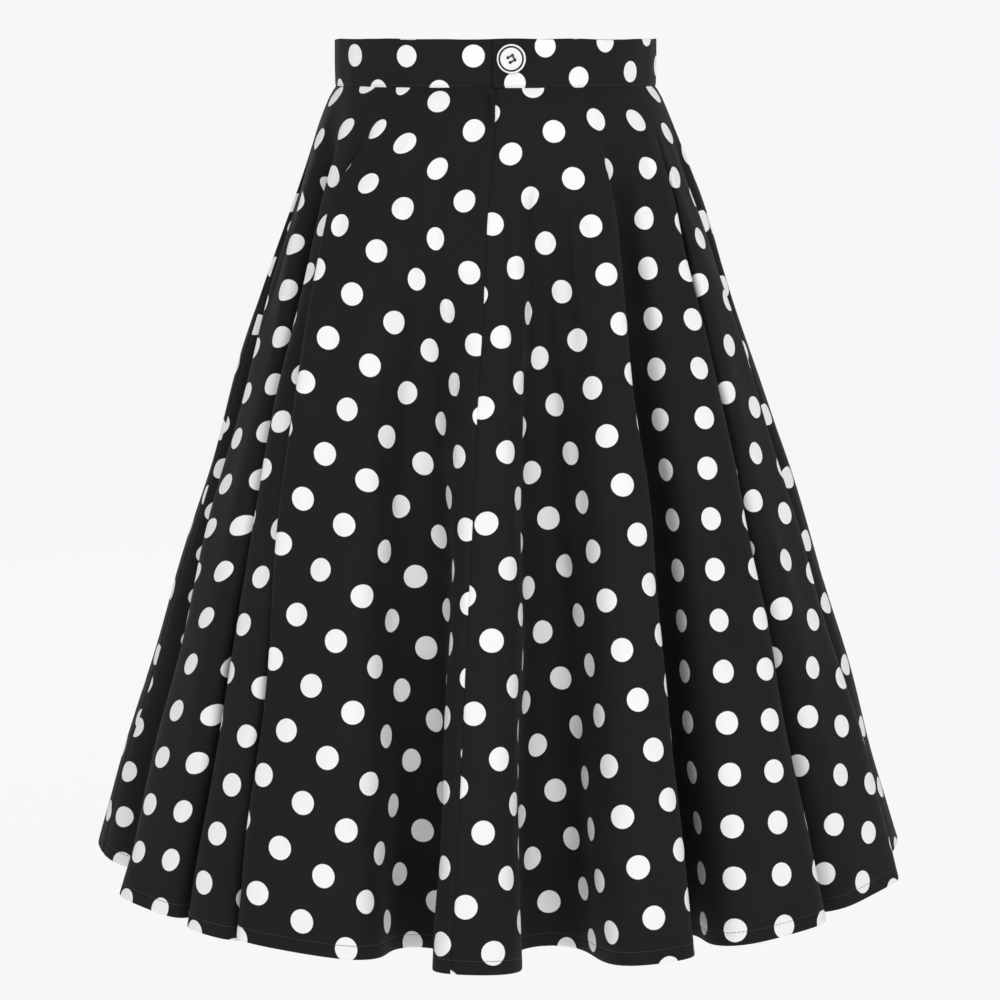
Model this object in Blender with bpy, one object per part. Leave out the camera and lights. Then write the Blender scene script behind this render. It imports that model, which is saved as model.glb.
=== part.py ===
# Flared skirt in printed cotton: a full circle of cloth hung from a straight waistband,
# closed at the centre back by a concealed zip and one button.
# Metres, +Z up. The origin is the middle of the waist at half the band's height.
# The centre back faces -Y. Angles are in degrees, counted from the centre back towards +X.

from collections import namedtuple
from math import cos, degrees, pi, radians, sin

import bmesh
import bpy
import numpy as np
from mathutils import Matrix, Vector

# The waist, an oval
WAIST_HALF_WIDTH = 0.128
WAIST_HALF_DEPTH = 0.098

# The waistband, a doubled strip with its right end lapped over its left end
BAND_HEIGHT = 0.0365
BAND_WALL = 0.0020
BAND_PROUD = 0.0004
BAND_EDGE = 0.0005
BAND_STEPS = 104
LAP_END = -0.002
UNDERLAP_END = 0.030
UNDERLAP_RISE = (-0.018, -0.004)

# The cloth below the band
CLOTH_LENGTH = 0.664
CLOTH_WALL = 0.0012
SEAM_GAP = 0.0003
SHARP_EDGE = 50
YOKE_DEPTH = 0.110
FLARE_BELLY = 0.09
FACE_AT_WAIST = 0.45
SHALLOWEST_CHORD = 0.20
STEEPEST_RUN = 0.94
SOFTEN_ANGLE = 0.9
ROWS = (0.0, 0.015, 0.035, 0.060, 0.095, 0.140, 0.200, 0.275, 0.365, 0.460, 0.560, CLOTH_LENGTH)
STEPS_PER_FOLD = 12
FINE_LENGTH_STEP = 0.0073
FINE_ANGLE_STEP = 0.25
WIDE_FACE = 4
LINE_SPACING = 0.5

# One row for each outward fold: at the hem its line in the flat cut, its place, the way
# it faces and the angle of its flat face in the cut, then the share of the cloth after it
# that the next hollow takes up, how many degrees further round the cut it starts at the
# waist, and how far it sways to the side on the way down.
Fold = namedtuple("Fold", "name cut_angle hem_x hem_y facing flat_face fullness drift sway")
FOLDS = (
    Fold("centre_back", 1.3, -0.017, -0.303, -4, 1.9, 0.72, 0, 0.000),
    Fold("back_right", 29.5, 0.128, -0.279, 17, 2.2, 1.00, 4, 0.010),
    Fold("back_right_side", 51.5, 0.228, -0.226, 26, 4.4, 1.00, 5, 0.014),
    Fold("right_back_side", 72, 0.307, -0.150, 44, 4.8, 1.00, 0, 0.000),
    Fold("right_side", 89.5, 0.342, -0.030, 76, 2.5, 0.95, 0, 0.000),
    Fold("right_front_side", 107, 0.328, 0.085, 106, 3.2, 0.95, 2, 0.004),
    Fold("front_right_side", 128, 0.262, 0.197, 124, 5.6, 1.00, 3, 0.010),
    Fold("front_right_outer", 145, 0.170, 0.262, 149, 2.2, 0.95, -3, -0.008),
    Fold("front_right", 167, 0.060, 0.304, 168, 6.2, 1.00, 2, 0.006),
    Fold("front_left", 186, -0.045, 0.296, 188, 2.4, 0.90, -2, -0.006),
    Fold("front_left_outer", 209, -0.160, 0.272, 211, 5.4, 1.00, 4, 0.012),
    Fold("front_left_side", 229, -0.252, 0.205, 234, 2.8, 0.95, 2, 0.006),
    Fold("left_front_side", 249.5, -0.318, 0.108, 254, 5.0, 1.00, -2, -0.004),
    Fold("left_side", 269, -0.334, -0.040, 290, 2.6, 1.00, -3, -0.010),
    Fold("left_back_side", 286, -0.278, -0.178, 317, 4.2, 1.00, -7, -0.026),
    Fold("back_left_side", 309.5, -0.223, -0.225, 329, 2.0, 1.00, -7, -0.024),
    Fold("back_left", 336.5, -0.152, -0.266, 342.5, 6.0, 0.78, -12, -0.058),
)

# Panels, by the lines of the flat cut where they are seamed
CENTRE_BACK_LINE = 0.0
RIGHT_SIDE_LINE = 90.0
LEFT_SIDE_LINE = 270.0

# The zip
ZIP_X = -0.0042
TAPE_WIDTH = 0.024
TAPE_WALL = 0.0010
TAPE_GAP = 0.00045
TAPE_STEPS = 8
TAPE_TOP = 0.004
TAPE_BOTTOM = 0.190
SLIDER_WIDTH = 0.0054
SLIDER_TOP = 0.0010
SLIDER_HEIGHT = 0.0058
SLIDER_WALL = 0.0010
BAIL_WIDTH = 0.0012
BAIL_WALL = 0.0008
BAIL_REACH = 0.0017
BAIL_HALF_HEIGHT = 0.0016
PULL_LENGTH = 0.028
PULL_TOP_RADIUS = 0.0017
PULL_END_RADIUS = 0.0021
PULL_RIM = 0.0007
PULL_WALL = 0.0009

# The button
BUTTON_ARC = 0.0120
BUTTON_Z = 0.0036
BUTTON_RADIUS = 0.0110
BUTTON_HEIGHT = 0.0030
BUTTON_HOLE_RADIUS = 0.0012
BUTTON_HOLE_REACH = 0.0028
BUTTON_TURN = 72

CLOTH_TOP = -BAND_HEIGHT / 2 - SEAM_GAP


# The waist oval, measured along its edge from the centre back

def oval_table():
    turn = np.radians(np.linspace(0, 360, 7201))
    x = WAIST_HALF_WIDTH * np.sin(turn)
    y = -WAIST_HALF_DEPTH * np.cos(turn)
    arc = np.concatenate([[0], np.cumsum(np.hypot(np.diff(x), np.diff(y)))])
    return turn, arc


OVAL_TURN, OVAL_ARC = oval_table()
WAIST_GIRTH = OVAL_ARC[-1]
CUT_RADIUS = WAIST_GIRTH / (2 * pi)


def oval_turn(arc):
    return np.interp(np.mod(arc, WAIST_GIRTH), OVAL_ARC, OVAL_TURN)


def oval_facing(arc):
    turn = oval_turn(arc)
    return np.arctan2(np.sin(turn) / WAIST_HALF_WIDTH, np.cos(turn) / WAIST_HALF_DEPTH)


def oval_point(arc, outward=0.0):
    turn = oval_turn(arc)
    facing = oval_facing(arc)
    x = WAIST_HALF_WIDTH * np.sin(turn) + outward * np.sin(facing)
    y = -WAIST_HALF_DEPTH * np.cos(turn) - outward * np.cos(facing)
    return np.stack([x, y], axis=-1)


# The drape. Each ring lies at one distance down the cloth. Its outward folds stand on
# lines from the waist to the hem, and between two folds the cloth swings in and out by an
# angle that brings its full cut width into the space between them.

WAVE = np.linspace(0, 1, 81)


def wave_shape(swing):
    angle = swing * np.sin(2 * pi * WAVE)
    run = np.concatenate([[0], np.cumsum((np.cos(angle)[1:] + np.cos(angle)[:-1]) / 2)])
    dip = np.concatenate([[0], np.cumsum((np.sin(angle)[1:] + np.sin(angle)[:-1]) / 2)])
    return run / (len(WAVE) - 1), dip / (len(WAVE) - 1)


SWINGS = np.linspace(0, 2.2, 111)
CHORDS = np.array([wave_shape(swing)[0][-1] for swing in SWINGS])


def hollow(start, end, cloth_width):
    # The cloth between two folds, as points from start to end that dip to the inside
    across = end - start
    chord = float(np.hypot(across[0], across[1]))
    along = across / chord
    inward = np.array([-along[1], along[0]])
    share = min(1.0, max(chord / cloth_width, SHALLOWEST_CHORD))
    swing = np.interp(-share, -CHORDS, SWINGS)
    run, dip = wave_shape(swing)
    scale = chord / run[-1]
    return start + scale * (run[:, None] * along + dip[:, None] * inward)


def flare(part):
    # How far out the folds stand, from 0 at the waist to 1 at the hem, a little bellied
    return part + FLARE_BELLY * part ** 0.5 * (1 - part)


def fold_angle(fold, length):
    # The fold's line in the flat cut, at one distance down the cloth
    return fold.cut_angle + fold.drift * (1 - length / CLOTH_LENGTH) ** 2


def half_face(fold, length):
    # Half the width of the fold's flat face, which narrows a little towards the waist
    hem_half = radians(fold.flat_face) / 2 * (CUT_RADIUS + CLOTH_LENGTH)
    return hem_half * (FACE_AT_WAIST + (1 - FACE_AT_WAIST) * length / CLOTH_LENGTH)


def fold_ends(fold, length):
    # The two ends of one fold's flat face, at one distance down the cloth
    arc = radians(fold_angle(fold, 0)) * CUT_RADIUS
    facing = float(oval_facing(arc)) % (2 * pi)
    turn_by = (radians(fold.facing) - facing + pi) % (2 * pi) - pi
    part = length / CLOTH_LENGTH
    turn = facing + turn_by * part
    across = np.array([cos(turn), sin(turn)])
    waist_point = oval_point(arc)
    middle = waist_point + (np.array([fold.hem_x, fold.hem_y]) - waist_point) * flare(part)
    middle = middle + across * fold.sway * part ** 0.3 * (1 - part)
    half = half_face(fold, length)
    return middle - across * half, middle + across * half


def hollow_lines(index, length):
    # The lines of the flat cut where the hollow after one fold starts and ends
    fold = FOLDS[index]
    follower = FOLDS[(index + 1) % len(FOLDS)]
    radius = CUT_RADIUS + length
    leave = fold_angle(fold, length) + degrees(half_face(fold, length) / radius)
    reach = fold_angle(follower, length) - degrees(half_face(follower, length) / radius)
    return leave, reach + (360 if follower is FOLDS[0] else 0)


def ring(length, cut_angles):
    # One ring of the cloth, at the given lines of the flat cut
    ends = [fold_ends(fold, length) for fold in FOLDS]
    angles = []
    points = []
    for index, fold in enumerate(FOLDS):
        leave, reach = hollow_lines(index, length)
        width = radians(reach - leave) * (CUT_RADIUS + length) * fold.fullness
        angles.extend(leave + WAVE * (reach - leave))
        points.extend(hollow(ends[index][1], ends[(index + 1) % len(FOLDS)][0], width))
    angles = np.array(angles)
    points = np.array(points)
    angles = np.concatenate([angles - 360, angles, angles + 360])
    points = np.concatenate([points, points, points])
    x = np.interp(cut_angles, angles, points[:, 0])
    y = np.interp(cut_angles, angles, points[:, 1])
    return soften(np.stack([x, y], axis=-1))


def soften(points):
    # Rounds the corners where flat faces meet hollows, along a closed ring
    reach = int(3 * SOFTEN_ANGLE / FINE_ANGLE_STEP)
    offsets = np.arange(-reach, reach + 1)
    weights = np.exp(-0.5 * (offsets * FINE_ANGLE_STEP / SOFTEN_ANGLE) ** 2)
    weights /= weights.sum()
    return sum(w * np.roll(points, -k, axis=0) for k, w in zip(offsets, weights))


def yoke_ring(length, cut_angles):
    # The smooth oval that the cloth leaves the band on
    arc = np.radians(cut_angles) * CUT_RADIUS
    reach = np.mean([np.hypot(f.hem_x, f.hem_y) for f in FOLDS]) - CUT_RADIUS
    return oval_point(arc, reach * flare(length / CLOTH_LENGTH))


def drape():
    cut_angles = np.arange(0, 360, FINE_ANGLE_STEP)
    lengths = np.linspace(0, CLOTH_LENGTH, int(CLOTH_LENGTH / FINE_LENGTH_STEP) + 1)
    plan = []
    for length in lengths:
        part = min(1.0, length / YOKE_DEPTH)
        folded = part * part * (3 - 2 * part)
        smooth = yoke_ring(length, cut_angles)
        plan.append(smooth + (ring(length, cut_angles) - smooth) * folded)
    plan = np.array(plan)
    run = np.hypot(np.diff(plan[:, :, 0], axis=0), np.diff(plan[:, :, 1], axis=0))
    step = np.diff(lengths)[:, None]
    run = np.minimum(run, STEEPEST_RUN * step)
    drop = np.sqrt(step ** 2 - run ** 2)
    height = CLOTH_TOP - np.concatenate([np.zeros((1, plan.shape[1])), np.cumsum(drop, axis=0)])
    cloth = np.concatenate([plan, height[:, :, None]], axis=2)
    return lengths, cut_angles, cloth


LENGTHS, CUT_ANGLES, CLOTH = drape()


def unit(vectors):
    return vectors / np.linalg.norm(vectors, axis=-1, keepdims=True)


def cloth_facing():
    down = np.gradient(CLOTH, axis=0)
    across = np.roll(CLOTH, -1, axis=1) - np.roll(CLOTH, 1, axis=1)
    return unit(np.cross(down, across))


FACING = cloth_facing()


def sample(field, length, cut_angle):
    row = np.clip(length / CLOTH_LENGTH, 0, 1) * (len(LENGTHS) - 1)
    low_row = int(min(row, len(LENGTHS) - 2))
    column = (cut_angle % 360) / FINE_ANGLE_STEP
    low_column = int(column) % len(CUT_ANGLES)
    next_column = (low_column + 1) % len(CUT_ANGLES)
    down = row - low_row
    across = column - int(column)
    upper = field[low_row, low_column] * (1 - across) + field[low_row, next_column] * across
    lower = field[low_row + 1, low_column] * (1 - across) + field[low_row + 1, next_column] * across
    return upper * (1 - down) + lower * down


# The lines of the flat cut that the panels' points stand on

def panel_lines():
    lines = []
    for index, fold in enumerate(FOLDS):
        leave, reach = hollow_lines(index, CLOTH_LENGTH)
        lines.extend(np.linspace(leave, reach, STEPS_PER_FOLD + 1) % 360)
        if fold.flat_face > WIDE_FACE:
            lines.append(fold.cut_angle % 360)
    seams = (CENTRE_BACK_LINE, RIGHT_SIDE_LINE, LEFT_SIDE_LINE, 360.0)
    kept = [line for line in lines if min(abs(line - seam) for seam in seams) > LINE_SPACING]
    return np.array(sorted(kept + list(seams)))


LINES = panel_lines()
GRID = np.array([[sample(CLOTH, t, a) for a in LINES] for t in ROWS])
GRID_FACING = unit(np.array([[sample(FACING, t, a) for a in LINES] for t in ROWS]))


def link(mesh_name, colour, roughness, metallic, builder):
    # One named object with its own material, from a function that fills a bmesh
    bm = bmesh.new()
    builder(bm)
    bmesh.ops.recalc_face_normals(bm, faces=bm.faces)
    mesh = bpy.data.meshes.new(mesh_name)
    bm.to_mesh(mesh)
    bm.free()
    mesh.shade_smooth()
    mesh.set_sharp_from_angle(angle=radians(SHARP_EDGE))
    thing = bpy.data.objects.new(mesh_name, mesh)
    bpy.context.scene.collection.objects.link(thing)
    material = bpy.data.materials.new(mesh_name)
    material.use_nodes = True
    shader = material.node_tree.nodes["Principled BSDF"]
    shader.inputs["Base Color"].default_value = (*colour, 1)
    shader.inputs["Roughness"].default_value = roughness
    shader.inputs["Metallic"].default_value = metallic
    mesh.materials.append(material)
    return thing


def sheet(bm, outer, inner):
    # A closed wall between two grids of points, split into triangles the same way
    rows, columns = outer.shape[:2]
    front = [[bm.verts.new(point) for point in line] for line in outer]
    back = [[bm.verts.new(point) for point in line] for line in inner]
    for r in range(rows - 1):
        for c in range(columns - 1):
            for side, order in ((front, 1), (back, -1)):
                first = (side[r][c], side[r + 1][c], side[r + 1][c + 1])
                second = (side[r][c], side[r + 1][c + 1], side[r][c + 1])
                bm.faces.new(first[::order])
                bm.faces.new(second[::order])
    for r in range(rows - 1):
        for c in (0, columns - 1):
            bm.faces.new((front[r][c], front[r + 1][c], back[r + 1][c], back[r][c]))
    for c in range(columns - 1):
        for r in (0, rows - 1):
            bm.faces.new((front[r][c], front[r][c + 1], back[r][c + 1], back[r][c]))


def panel(bm, start_line, end_line):
    chosen = [i for i, line in enumerate(LINES) if start_line <= line <= end_line]
    outer = GRID[:, chosen].copy()
    facing = GRID_FACING[:, chosen].copy()
    edge = SEAM_GAP / 2
    outer[:, 0] += unit(outer[:, 1] - outer[:, 0]) * edge
    outer[:, -1] += unit(outer[:, -2] - outer[:, -1]) * edge
    sheet(bm, outer, outer - facing * CLOTH_WALL)


def on_grid(length, cut_angle, inset):
    # A point on the panels' flat triangles near the centre back, moved to the inside
    lines = np.concatenate([LINES[:-1] - 360, LINES])
    column = int(np.searchsorted(lines, cut_angle, side="right") - 1)
    column = min(column, len(lines) - 2)
    across = (cut_angle - lines[column]) / (lines[column + 1] - lines[column])
    row = int(np.searchsorted(ROWS, length, side="right") - 1)
    down = (length - ROWS[row]) / (ROWS[row + 1] - ROWS[row])
    count = len(LINES) - 1
    corners = {}
    for r in (0, 1):
        for c in (0, 1):
            place = (row + r, (column + c) % count)
            corners[r, c] = GRID[place] - GRID_FACING[place] * inset
    upper = corners[0, 0] * (1 - across) + corners[0, 1] * across
    lower = corners[1, 0] * (1 - across) + corners[1, 1] * across
    return upper * (1 - down) + lower * down


def zip_tape(bm):
    lengths = [TAPE_TOP] + [t for t in ROWS if TAPE_TOP < t < TAPE_BOTTOM] + [TAPE_BOTTOM]
    outer = []
    inner = []
    for length in lengths:
        half = degrees(TAPE_WIDTH / 2 / (CUT_RADIUS + length))
        stops = np.linspace(-half, half, TAPE_STEPS + 1)
        outer.append([on_grid(length, stop, CLOTH_WALL + TAPE_GAP) for stop in stops])
        inner.append([on_grid(length, stop, CLOTH_WALL + TAPE_GAP + TAPE_WALL) for stop in stops])
    sheet(bm, np.array(outer), np.array(inner))


# The waistband

def band_offset(arc):
    low, high = UNDERLAP_RISE
    part = min(1.0, max(0.0, (arc - low) / (high - low)))
    return BAND_PROUD - part * part * (3 - 2 * part) * (BAND_WALL + SEAM_GAP)


def band_section(arc, outward):
    # The strip's cut face: a tall narrow shape with eased edges
    half = BAND_HEIGHT / 2
    inside = outward - BAND_WALL
    profile = (
        (outward - BAND_EDGE, half), (inside + BAND_EDGE, half),
        (inside, half - BAND_EDGE), (inside, -half + BAND_EDGE),
        (inside + BAND_EDGE, -half), (outward - BAND_EDGE, -half),
        (outward, -half + BAND_EDGE), (outward, half - BAND_EDGE),
    )
    return [(*oval_point(arc, offset), z) for offset, z in profile]


def waistband(bm):
    first = UNDERLAP_END
    last = LAP_END - WAIST_GIRTH
    sections = []
    for step in range(BAND_STEPS + 1):
        arc = first + (last - first) * step / BAND_STEPS
        outward = band_offset(arc) if arc > -WAIST_GIRTH / 2 else BAND_PROUD
        sections.append([bm.verts.new(p) for p in band_section(arc, outward)])
    for here, there in zip(sections, sections[1:]):
        for k in range(len(here)):
            after = (k + 1) % len(here)
            bm.faces.new((here[k], here[after], there[after], there[k]))
    bm.faces.new(sections[0])
    bm.faces.new(sections[-1])


# The button, turned from a profile and pierced by four holes

def turned(bm, profile, steps):
    # A closed solid turned about the local Z axis, from its bottom centre to its top centre
    rings = []
    for radius, z in profile[1:-1]:
        rings.append([
            bm.verts.new((radius * cos(2 * pi * k / steps), radius * sin(2 * pi * k / steps), z))
            for k in range(steps)
        ])
    bottom = bm.verts.new((0, 0, profile[0][1]))
    top = bm.verts.new((0, 0, profile[-1][1]))
    for k in range(steps):
        after = (k + 1) % steps
        bm.faces.new((bottom, rings[0][after], rings[0][k]))
        bm.faces.new((top, rings[-1][k], rings[-1][after]))
        for low, high in zip(rings, rings[1:]):
            bm.faces.new((low[k], low[after], high[after], high[k]))


def button_disc(bm):
    r = BUTTON_RADIUS
    h = BUTTON_HEIGHT
    profile = (
        (0, 0), (0.86 * r, 0), (0.97 * r, 0.15 * h), (r, 0.40 * h), (r, 0.70 * h),
        (0.96 * r, 0.92 * h), (0.90 * r, h), (0.85 * r, 0.94 * h), (0.81 * r, 0.80 * h),
        (0.75 * r, 0.76 * h), (0.40 * r, 0.70 * h), (0, 0.68 * h),
    )
    turned(bm, profile, 40)


def button_holes(bm):
    for k in range(4):
        turn = radians(BUTTON_TURN + 90 * k)
        place = Matrix.Translation((
            BUTTON_HOLE_REACH * cos(turn), BUTTON_HOLE_REACH * sin(turn), BUTTON_HEIGHT / 2))
        bmesh.ops.create_cone(
            bm, cap_ends=True, segments=12, radius1=BUTTON_HOLE_RADIUS,
            radius2=BUTTON_HOLE_RADIUS, depth=2 * BUTTON_HEIGHT, matrix=place)


def guide(thing):
    thing.hide_render = True
    thing.display_type = "WIRE"
    return thing


def combine(thing, other, operation):
    modifier = thing.modifiers.new(operation.lower(), "BOOLEAN")
    modifier.operation = operation
    modifier.solver = "EXACT"
    modifier.object = other


def build_button():
    ivory = (0.86, 0.85, 0.83)
    disc = link("button", ivory, 0.3, 0.0, button_disc)
    holes = guide(link("button_holes", ivory, 0.3, 0.0, button_holes))
    combine(disc, holes, "DIFFERENCE")
    facing = float(oval_facing(BUTTON_ARC))
    x, y = oval_point(BUTTON_ARC, BAND_PROUD + SEAM_GAP)
    upright = Matrix.Rotation(facing, 4, "Z") @ Matrix.Rotation(pi / 2, 4, "X")
    disc.matrix_world = Matrix.Translation((x, y, BUTTON_Z)) @ upright
    holes.matrix_world = disc.matrix_world


# The zip's slider and pull. Both are placed from a frame on the outer face of the cloth
# under the band: local X across, local Y to the inside, local Z up along the cloth.

def zip_frame(length):
    cut_angle = degrees(ZIP_X / (CUT_RADIUS + length)) + 360
    here = Vector(sample(CLOTH, length, cut_angle))
    below = Vector(sample(CLOTH, length + PULL_LENGTH, cut_angle))
    up = (here - below)
    up.x = 0
    up.normalize()
    across = Vector((1, 0, 0))
    inside = up.cross(across)
    here.x = ZIP_X
    frame = Matrix((across, inside, up)).transposed().to_4x4()
    frame.translation = here
    return frame


def prism(bm, outline, low_x, high_x):
    # A flat outline in local Y and Z, carried from low_x to high_x
    near = [bm.verts.new((low_x, y, z)) for y, z in outline]
    far = [bm.verts.new((high_x, y, z)) for y, z in outline]
    bm.faces.new(near)
    bm.faces.new(far)
    for k in range(len(outline)):
        after = (k + 1) % len(outline)
        bm.faces.new((near[k], near[after], far[after], far[k]))


def slider_body(bm):
    back = -SEAM_GAP
    front = back - SLIDER_WALL
    half = SLIDER_HEIGHT / 2
    ease = SLIDER_WALL * 0.4
    outline = (
        (back, -half), (back, half), (front + ease, half), (front, half - ease),
        (front, -half + ease), (front + ease, -half),
    )
    prism(bm, outline, -SLIDER_WIDTH / 2, SLIDER_WIDTH / 2)


def slider_bail(bm):
    foot = -SEAM_GAP - SLIDER_WALL
    root = foot + SLIDER_WALL / 2
    reach = foot - BAIL_REACH
    inner = BAIL_HALF_HEIGHT
    outer = inner + BAIL_WALL
    ease = BAIL_WALL / 2
    outline = (
        (root, -outer), (root, -inner), (reach, -inner), (reach, inner), (root, inner),
        (root, outer), (reach - BAIL_WALL + ease, outer), (reach - BAIL_WALL, outer - ease),
        (reach - BAIL_WALL, -outer + ease), (reach - BAIL_WALL + ease, -outer),
    )
    prism(bm, outline, -BAIL_WIDTH / 2, BAIL_WIDTH / 2)


def pull_loop(bm):
    # A long loop: the outline round two circles, with the hinge line in its top rim
    steps = 14
    top_z = PULL_RIM / 2 - PULL_TOP_RADIUS
    end_z = PULL_RIM / 2 - PULL_LENGTH + PULL_END_RADIUS
    lean = (PULL_END_RADIUS - PULL_TOP_RADIUS) / (top_z - end_z)
    outlines = []
    for inset in (0, PULL_RIM):
        points = []
        for k in range(steps + 1):
            turn = -lean + (pi + 2 * lean) * k / steps
            radius = PULL_TOP_RADIUS - inset
            points.append((radius * cos(turn), top_z + radius * sin(turn)))
        for k in range(steps + 1):
            turn = pi + lean + (pi - 2 * lean) * k / steps
            radius = PULL_END_RADIUS - inset
            points.append((radius * cos(turn), end_z + radius * sin(turn)))
        outlines.append(points)
    half = PULL_WALL / 2
    sides = [[[bm.verts.new((x, y, z)) for x, z in points] for points in outlines] for y in (-half, half)]
    count = len(outlines[0])
    for k in range(count):
        after = (k + 1) % count
        for outer, inner in sides:
            bm.faces.new((outer[k], outer[after], inner[after], inner[k]))
        for rim in (0, 1):
            near, far = sides[0][rim], sides[1][rim]
            bm.faces.new((near[k], near[after], far[after], far[k]))


def build_zip():
    black = (0.012, 0.012, 0.013)
    link("zip_tape", black, 0.8, 0.0, zip_tape)
    frame = zip_frame(SLIDER_TOP + SLIDER_HEIGHT / 2)
    body = link("zip_slider", black, 0.35, 0.4, slider_body)
    bail = guide(link("zip_slider_bail", black, 0.35, 0.4, slider_bail))
    combine(body, bail, "UNION")
    body.matrix_world = frame
    bail.matrix_world = frame
    hinge = bpy.data.objects.new("pull_tab_hinge", None)
    bpy.context.scene.collection.objects.link(hinge)
    hinge.matrix_world = frame @ Matrix.Translation((0, -SEAM_GAP - SLIDER_WALL - BAIL_REACH / 2, 0))
    pull = link("pull_tab", black, 0.35, 0.4, pull_loop)
    pull.parent = hinge


def build_panels():
    print_black = (0.018, 0.017, 0.020)
    pieces = (
        ("back_right_panel", CENTRE_BACK_LINE, RIGHT_SIDE_LINE),
        ("front_panel", RIGHT_SIDE_LINE, LEFT_SIDE_LINE),
        ("back_left_panel", LEFT_SIDE_LINE, 360.0),
    )
    for name, start_line, end_line in pieces:
        link(name, print_black, 0.85, 0.0, lambda bm, a=start_line, b=end_line: panel(bm, a, b))
    link("waistband", print_black, 0.85, 0.0, waistband)


def main():
    for old in list(bpy.data.objects):
        bpy.data.objects.remove(old, do_unlink=True)
    build_panels()
    build_button()
    build_zip()
    bpy.context.view_layer.update()


main()
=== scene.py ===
from math import pi, radians, sin, cos, sqrt

import bmesh
import bpy
import numpy as np
from mathutils import Matrix, Vector


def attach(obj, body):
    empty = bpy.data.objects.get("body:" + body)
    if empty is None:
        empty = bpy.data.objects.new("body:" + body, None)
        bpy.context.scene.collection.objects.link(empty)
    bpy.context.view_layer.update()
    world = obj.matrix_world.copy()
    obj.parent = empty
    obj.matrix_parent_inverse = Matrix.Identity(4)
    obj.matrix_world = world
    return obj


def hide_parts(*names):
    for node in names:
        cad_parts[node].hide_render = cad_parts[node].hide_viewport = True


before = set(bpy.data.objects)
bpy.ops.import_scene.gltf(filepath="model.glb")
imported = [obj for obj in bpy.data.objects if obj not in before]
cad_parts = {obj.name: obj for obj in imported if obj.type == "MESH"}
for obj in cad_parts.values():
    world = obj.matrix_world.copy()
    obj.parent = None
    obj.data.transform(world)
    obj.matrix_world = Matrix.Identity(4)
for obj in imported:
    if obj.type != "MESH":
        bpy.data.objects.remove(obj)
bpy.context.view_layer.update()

# Metres, +Z up. The centre back, with the button and the zip, faces -Y.
# Cut angles are in degrees in the flat circle of cloth, from the centre back towards +X.

skirt = {
    "waistHalfWidth": 0.128,
    "waistHalfDepth": 0.098,
    "seamHeight": -0.01855,
    "clothLength": 0.664,
    "yokeDepth": 0.110,
    "flareBelly": 0.09,
    "faceAtWaist": 0.45,
    "shallowestChord": 0.20,
    "steepestRun": 0.94,
    "softenAngle": 0.9,
    "angleStep": 0.25,
    "lengthStep": 0.0073,
    "folds": [  # name, cut angle, hem x, hem y, facing, flat face, fullness, drift, sway
        ("centreBack", 1.3, -0.017, -0.303, -4, 1.9, 0.72, 0, 0.000),
        ("backRight", 29.5, 0.128, -0.279, 17, 2.2, 1.00, 4, 0.010),
        ("backRightSide", 51.5, 0.228, -0.226, 26, 4.4, 1.00, 5, 0.014),
        ("rightBackSide", 72, 0.307, -0.150, 44, 4.8, 1.00, 0, 0.000),
        ("rightSide", 89.5, 0.342, -0.030, 76, 2.5, 0.95, 0, 0.000),
        ("rightFrontSide", 107, 0.328, 0.085, 106, 3.2, 0.95, 2, 0.004),
        ("frontRightSide", 128, 0.262, 0.197, 124, 5.6, 1.00, 3, 0.010),
        ("frontRightOuter", 145, 0.170, 0.262, 149, 2.2, 0.95, -3, -0.008),
        ("frontRight", 167, 0.060, 0.304, 168, 6.2, 1.00, 2, 0.006),
        ("frontLeft", 186, -0.045, 0.296, 188, 2.4, 0.90, -2, -0.006),
        ("frontLeftOuter", 209, -0.160, 0.272, 211, 5.4, 1.00, 4, 0.012),
        ("frontLeftSide", 229, -0.252, 0.205, 234, 2.8, 0.95, 2, 0.006),
        ("leftFrontSide", 249.5, -0.318, 0.108, 254, 5.0, 1.00, -2, -0.004),
        ("leftSide", 269, -0.334, -0.040, 290, 2.6, 1.00, -3, -0.010),
        ("leftBackSide", 286, -0.278, -0.178, 317, 4.2, 1.00, -7, -0.026),
        ("backLeftSide", 309.5, -0.223, -0.225, 329, 2.0, 1.00, -7, -0.024),
        ("backLeft", 336.5, -0.152, -0.266, 342.5, 6.0, 0.78, -12, -0.058),
    ],
}


# the waist oval, by distance along its edge from the centre back

clothLength = skirt["clothLength"]
ovalWide, ovalDeep = skirt["waistHalfWidth"], skirt["waistHalfDepth"]
ovalTurn = np.radians(np.linspace(0, 360, 7201))
ovalArc = np.concatenate([[0], np.cumsum(np.hypot(
    np.diff(ovalWide * np.sin(ovalTurn)), np.diff(ovalDeep * np.cos(ovalTurn))))])
waistGirth = ovalArc[-1]
cutRadius = waistGirth / (2 * pi)


def ovalFacing(arc):
    turn = np.interp(np.mod(arc, waistGirth), ovalArc, ovalTurn)
    return np.arctan2(np.sin(turn) / ovalWide, np.cos(turn) / ovalDeep)


def ovalPoint(arc, outward=0.0):
    turn = np.interp(np.mod(arc, waistGirth), ovalArc, ovalTurn)
    facing = ovalFacing(arc)
    x = ovalWide * np.sin(turn) + outward * np.sin(facing)
    y = -ovalDeep * np.cos(turn) - outward * np.cos(facing)
    return np.stack([x, y], axis=-1)


def unit(vectors):
    return vectors / np.linalg.norm(vectors, axis=-1, keepdims=True)


def smoothStep(value, low, high):
    part = np.clip((value - low) / (high - low), 0, 1)
    return part * part * (3 - 2 * part)


# the drape: outward folds on straight lines, and hollows that take up the cloth between them

wave = np.linspace(0, 1, 81)


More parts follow.
